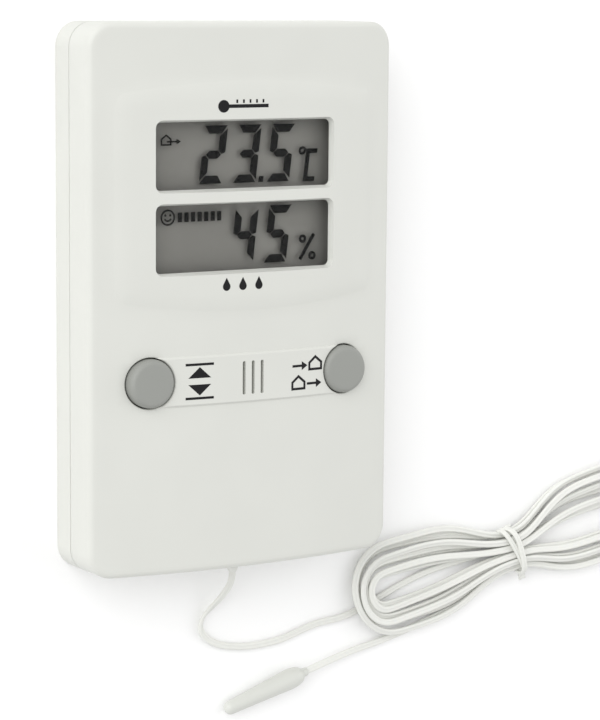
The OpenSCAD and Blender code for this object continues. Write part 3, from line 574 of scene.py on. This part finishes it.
def flat_marks(shapes, z_of, thick=0.05, rise=0.02, lean=0.0, foot=0.0):
    """Thin plates on z_of: ("poly", points) filled, or ("line", points, width, closed) drawn."""
    points, faces = [], []

    def put(xy):
        xy = np.asarray(xy, float).copy()
        xy[:, 0] += (xy[:, 1] - foot) * lean
        z = z_of(xy[:, 0], xy[:, 1])
        start = len(points)
        points.extend(np.column_stack([xy, z + rise]).tolist()
                      + np.column_stack([xy, z + rise - thick]).tolist())
        return start, start + len(xy)

    for shape in shapes:
        line = np.asarray(shape[1], float)
        if shape[0] == "poly":
            after = np.roll(line, -1, axis=0)
            if (line[:, 0] * after[:, 1] - line[:, 1] * after[:, 0]).sum() < 0:
                line = line[::-1]
            t, b = put(line)
            n = len(line)
            faces.append([t + i for i in range(n)])
            faces.append([b + i for i in range(n)][::-1])
            faces += [[t + i, b + i, b + (i + 1) % n, t + (i + 1) % n] for i in range(n)]
            continue
        width, closed = shape[2], shape[3]
        back, ahead = np.roll(line, 1, axis=0), np.roll(line, -1, axis=0)
        if not closed:
            back[0], ahead[-1] = 2 * line[0] - line[1], 2 * line[-1] - line[-2]
        d1, d2 = line - back, ahead - line
        d1 /= np.linalg.norm(d1, axis=1, keepdims=True)
        d2 /= np.linalg.norm(d2, axis=1, keepdims=True)
        side = d1 + d2
        side /= np.linalg.norm(side, axis=1, keepdims=True)
        normal = np.stack([-side[:, 1], side[:, 0]], 1)
        reach = width / 2 / np.maximum((side * d2).sum(1), 0.4)[:, None]
        lt, lb = put(line + normal * reach)
        rt, rb = put(line - normal * reach)
        n = len(line)
        for i in range(n if closed else n - 1):
            j = (i + 1) % n
            faces += [[rt + i, rt + j, lt + j, lt + i], [rb + i, lb + i, lb + j, rb + j],
                      [lt + i, lt + j, lb + j, lb + i], [rt + j, rt + i, rb + i, rb + j]]
        if not closed:
            e = n - 1
            faces += [[rt, lt, lb, rb], [lt + e, rt + e, rb + e, lb + e]]
    return points, faces


def digit(lit, x0, y0, w=5.3, h=11.6, t=1.62, g=0.1):
    """Seven-segment figure from the letters of its lit segments, with mitred ends and thin gaps."""
    m = h / 2
    left = [(0, h - 0.35 * t - g), (t, h - 1.3 * t - g), (t, m + t / 2 + g),
            (t / 2, m + g), (0, m + g + 0.3)]
    shapes = {"a": [(g, h), (w - g, h), (w - 0.7 * t - g, h - t), (0.7 * t + g, h - t)],
              "f": left, "b": [(w - x, y) for x, y in left],
              "e": [(x, h - y) for x, y in left], "c": [(w - x, h - y) for x, y in left],
              "d": [(g, 0), (w - g, 0), (w - 0.7 * t - g, t), (0.7 * t + g, t)],
              "g": [(t / 2 + g, m), (t + g, m + t / 2), (w - t - g, m + t / 2), (w - t / 2 - g, m),
                    (w - t - g, m - t / 2), (t + g, m - t / 2)]}
    return [("poly", [(x0 + x, y0 + y) for x, y in shapes[s]]) for s in lit]


def arc(cx, cy, r, start, stop, count=24):
    a = np.radians(np.linspace(start, stop, count, endpoint=abs(stop - start) < 360))
    return np.stack([cx + r * np.cos(a), cy + r * np.sin(a)], 1)


def slab(x0, x1, y0, y1, z0, z1, chamfer):
    """A flat plate with chamfered upright and level edges, as cut glass or film has."""
    def loop(inset):
        c, i = chamfer, inset
        return [(x0 + c, y0 + i), (x1 - c, y0 + i), (x1 - i, y0 + c), (x1 - i, y1 - c),
                (x1 - c, y1 - i), (x0 + c, y1 - i), (x0 + i, y1 - c), (x0 + i, y0 + c)]
    levels = [(z0, chamfer / 2), (z0 + chamfer / 2, 0), (z1 - chamfer / 2, 0), (z1, chamfer / 2)]
    points = [(x, y, z) for z, inset in levels for x, y in loop(inset)]
    faces = [list(range(8))[::-1], list(range(24, 32))]
    faces += [[k * 8 + i, k * 8 + (i + 1) % 8, k * 8 + 8 + (i + 1) % 8, k * 8 + 8 + i]
              for k in range(3) for i in range(8)]
    return points, faces


film = add_piece("display_film",
                 *slab(WIN_X - 23.7, WIN_X + 23.7, WIN_Y - 18.5, WIN_Y + 18.5, 12.36, 12.62, 0.1),
                 "display_foil", crisp=20)
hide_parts("lcd_reflector")
panel = add_piece("display_panel",
                  *slab(WIN_X - 24, WIN_X + 24, WIN_Y - 18.85, WIN_Y + 18.85, 12.66, 14.1, 0.25),
                  "display_glass", crisp=20)
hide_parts("lcd_glass")
level_at = lambda z: (lambda x, y: np.full(len(x), z))
LEAN = math.tan(math.radians(7))
FIGURE_Z = 13.6
upper = digit("abged", -10.2, 22.9) + digit("abgcd", -2.4, 22.9) + digit("afgcd", 5.5, 22.9)
upper += [("poly", [(3.6, 22.9), (4.7, 22.9), (4.7, 24.1), (3.6, 24.1)]),
          ("line", arc(13.2, 29.0, 0.62, 0, 360, 16), 0.5, True),
          ("line", [(16.8, 28.9), (14.6, 28.9), (14.6, 23.2), (16.8, 23.2)], 0.95, False)]
lower = digit("fgbc", -2.9, 6.5) + digit("afgcd", 4.9, 6.5)
lower_small = [("line", [(13.6, 6.8), (16.9, 11.9)], 0.75, False),
               ("line", arc(14.2, 11.0, 0.6, 0, 360, 16), 0.55, True),
               ("line", arc(16.5, 7.5, 0.6, 0, 360, 16), 0.55, True),
               ("line", arc(-17.15, 16.5, 1.45, 0, 360, 28), 0.36, True),
               ("line", arc(-17.15, 16.6, 0.78, 205, 335, 12), 0.34, False),
               ("poly", arc(-17.7, 16.95, 0.24, 0, 360, 12)), ("poly", arc(-16.6, 16.95, 0.24, 0, 360, 12))]
lower_small += [("poly", [(-14.9 + 1.5 * i, 15.5), (-13.95 + 1.5 * i, 15.5), (-13.95 + 1.5 * i, 17.4),
                          (-14.9 + 1.5 * i, 17.4)]) for i in range(7)]
upper_small = [("line", [(-18.6, 30.9), (-18.6, 32.0), (-17.55, 32.8), (-16.5, 32.0), (-16.5, 30.9)],
                0.32, True),
               ("line", [(-17.4, 31.5), (-14.9, 31.5)], 0.32, False),
               ("poly", [(-15.2, 30.95), (-14.2, 31.5), (-15.2, 32.05)])]
for mark_name, shapes, lean, foot in (("figures_upper", upper, LEAN, 22.6),
                                      ("figures_lower", lower, LEAN, 6.5),
                                      ("symbols_upper", upper_small, 0, 0),
                                      ("symbols_lower", lower_small, 0, 0)):
    add_piece(mark_name, *flat_marks(shapes, level_at(FIGURE_Z), lean=lean, foot=foot), "display_glass",
              crisp=20, material=segment_ink)

# Printed marks -----------------------------------------------------------------------------
# Plain signs printed in black on the face: a thermometer above the windows, drops below them,
# a peak and a trough beside the left key, a house with an arrow in and out beside the right one.


def bar(x0, x1, y0, y1):
    """A filled bar with points every millimetre along it, so that it follows the bulge of the face."""
    xs = np.linspace(x0, x1, max(2, int(abs(x1 - x0)) + 2))
    return ("poly", [(x, y0) for x in xs] + [(x, y1) for x in xs[::-1]])


def drop(cx, cy, r):
    body = arc(cx, cy, r, 150, 390, 18).tolist()
    return ("poly", body + [(cx, cy + 2.1 * r)])


def house(x, y):
    return ("line", [(x, y), (x, y + 1.35), (x + 1.5, y + 2.55), (x + 3.0, y + 1.35), (x + 3.0, y)],
            0.5, True)


signs = [("poly", arc(-7.0, 38.5, 1.25, 0, 360, 28)), bar(-6.2, 3.2, 38.15, 38.85)]
signs += [bar(x, x + 0.4, 39.1, 39.8) for x in (-4.2, -2.7, -1.2, 0.3, 1.8)]
signs += [drop(-6.2, 2.65, 0.85), drop(-2.5, 2.65, 0.85), drop(1.2, 2.65, 0.85)]
strip_signs = [("poly", [(-14.6, -15.4), (-9.6, -15.4), (-12.1, -13.2)]), bar(-15.2, -9.0, -12.9, -12.4),
               ("poly", [(-14.6, -16.7), (-12.1, -18.9), (-9.6, -16.7)]), bar(-15.2, -9.0, -19.7, -19.2),
               house(13.6, -15.4), bar(9.4, 12.0, -14.75, -14.25),
               ("poly", [(11.7, -15.4), (13.1, -14.5), (11.7, -13.6)]),
               house(9.4, -19.2), bar(13.0, 15.6, -18.55, -18.05),
               ("poly", [(15.3, -19.2), (16.7, -18.3), (15.3, -17.4)])]
add_piece("printed_signs", *flat_marks(signs + strip_signs, skin), "black_resin", crisp=20, material=ink)

# Set ---------------------------------------------------------------------------------------
# A wide white table, soft light all round, a broad light from the upper left and a weak one opposite.
floor_mesh = bpy.data.meshes.new("floor")
floor_mesh.from_pydata([(-3, -3, 0), (3, -3, 0), (3, 3, 0), (-3, 3, 0)], [], [(0, 1, 2, 3)])
floor_mesh.materials.append(finish("floor", (0.99, 0.99, 0.99), 0.9, grain=0.0, cloud=0.0))
floor = bpy.data.objects.new("floor", floor_mesh)
scene.collection.objects.link(floor)

world = bpy.data.worlds.new("world")
scene.world = world
world.use_nodes = True
w_nodes, w_link = world.node_tree.nodes, world.node_tree.links.new
soft = w_nodes["Background"]
soft.inputs["Color"].default_value = (1, 1, 1, 1)
soft.inputs["Strength"].default_value = 0.76
plain = w_nodes.new("ShaderNodeBackground")
plain.inputs["Color"].default_value = (1, 1, 1, 1)
plain.inputs["Strength"].default_value = 1.0
light_path = w_nodes.new("ShaderNodeLightPath")
either = w_nodes.new("ShaderNodeMath")
either.operation = "MAXIMUM"
w_link(light_path.outputs["Is Camera Ray"], either.inputs[0])
w_link(light_path.outputs["Is Glossy Ray"], either.inputs[1])
any_ray = w_nodes.new("ShaderNodeMath")
any_ray.operation = "MAXIMUM"
w_link(either.outputs["Value"], any_ray.inputs[0])
w_link(light_path.outputs["Is Transmission Ray"], any_ray.inputs[1])
blend_sky = w_nodes.new("ShaderNodeMixShader")
w_link(any_ray.outputs["Value"], blend_sky.inputs["Fac"])
w_link(soft.outputs["Background"], blend_sky.inputs[1])
w_link(plain.outputs["Background"], blend_sky.inputs[2])
w_link(blend_sky.outputs["Shader"], w_nodes["World Output"].inputs["Surface"])

for sun_name, energy, angle, towards in (("broad_light", 1.57, 1.0, (-0.75, 0.45, 0.48)),
                                         ("fill_light", 0.6, 1.0, (0.8, 0.2, 0.5))):
    sun_data = bpy.data.lights.new(sun_name, "SUN")
    sun_data.energy = energy
    sun_data.angle = angle
    sun = bpy.data.objects.new(sun_name, sun_data)
    scene.collection.objects.link(sun)
    z_axis = np.array(towards) / np.linalg.norm(towards)
    x_axis = np.cross([0, 0, 1.0], z_axis)
    x_axis /= np.linalg.norm(x_axis)
    y_axis = np.cross(z_axis, x_axis)
    sun.matrix_world = Matrix([[x_axis[i], y_axis[i], z_axis[i], z_axis[i]] for i in range(3)]
                              + [[0, 0, 0, 1]])
